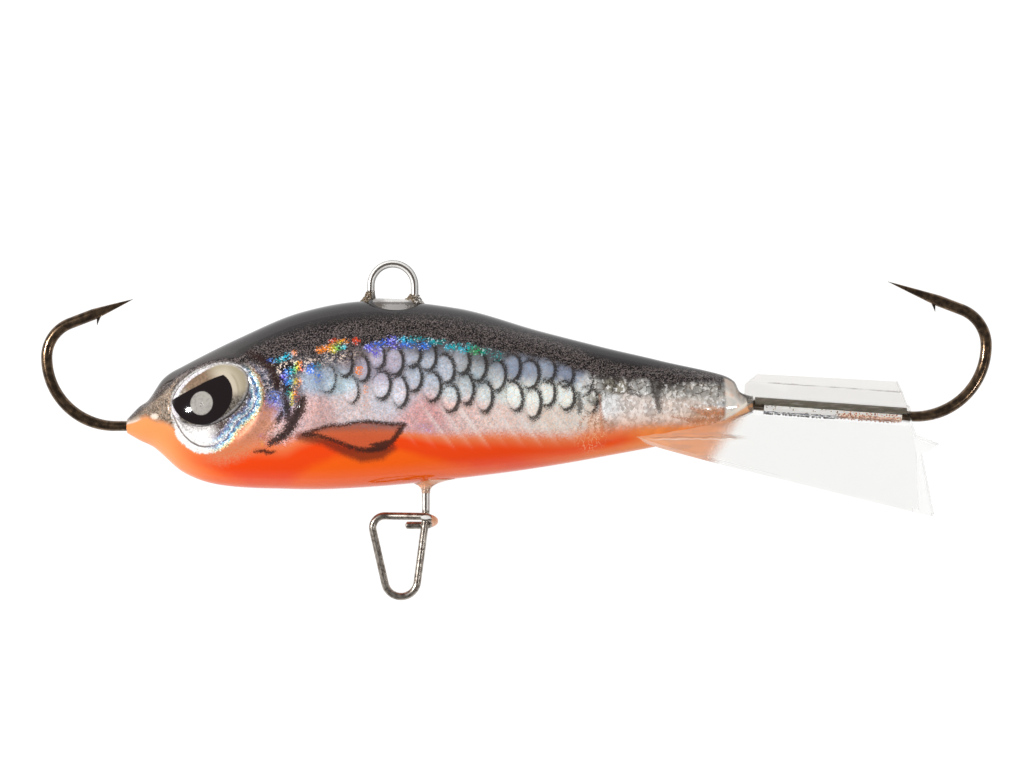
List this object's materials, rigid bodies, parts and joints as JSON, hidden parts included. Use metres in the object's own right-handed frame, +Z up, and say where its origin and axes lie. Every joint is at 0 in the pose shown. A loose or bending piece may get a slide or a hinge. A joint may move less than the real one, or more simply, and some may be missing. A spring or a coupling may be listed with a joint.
{
  "type": "ice fishing jig",
  "caption": "Cast minnow jig with a hook at nose and tail, a wire line eye in the back, a wire snap under the belly and a clear splayed tail fin.",
  "frame": {"origin": "on the surface that the jig lies on, under the middle of its box", "axes": "+X from nose to tail, +Y towards the back, +Z up, square to the jig's middle plane"},
  "size_m": [0.076, 0.0272, 0.0081],
  "materials": {
    "lacquered_body": "printed holographic foil and sprayed paint, black back and orange belly, under thick clear lacquer",
    "printed_eye": "domed clear resin over a printed black pupil and a tan iris",
    "bronzed_steel": "dark bronzed hook steel, glossy",
    "stainless_wire": "drawn stainless wire",
    "clear_plastic": "clear moulded plastic with a mist of orange paint at the root"
  },
  "bodies": {
    "root": {"minnow_body": "lacquered_body", "left_eye": "printed_eye", "right_eye": "printed_eye", "nose_hook": "bronzed_steel", "tail_hook": "bronzed_steel", "line_eye": "stainless_wire", "belly_snap": "stainless_wire", "tail_fin": "clear_plastic"}
  },
  "joints": []
}
